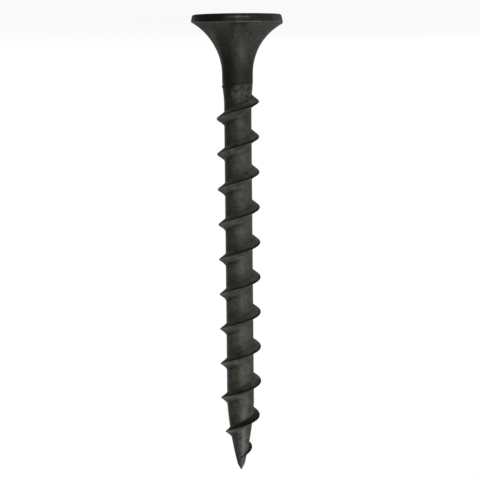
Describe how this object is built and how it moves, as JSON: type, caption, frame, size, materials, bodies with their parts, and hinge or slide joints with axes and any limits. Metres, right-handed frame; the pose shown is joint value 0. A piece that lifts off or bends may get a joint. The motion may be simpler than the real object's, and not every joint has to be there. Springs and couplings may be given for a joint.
{
  "type": "drywall screw",
  "caption": "Coarse-thread drywall screw with a flat-faced bugle head, cross recess, widely spaced right-hand thread and sharp point, in black phosphated steel.",
  "frame": {"origin": "centre of the head's flat face, on which the screw stands", "axes": "+Z along the screw's axis, from the head's face to the point; the thread's first full crest is on the -X side"},
  "size_m": [0.0082, 0.0082, 0.0413],
  "materials": {
    "phosphated_steel": "black phosphate coating, satin, slightly oiled"
  },
  "bodies": {
    "root": {"screw": "phosphated_steel"}
  },
  "joints": []
}
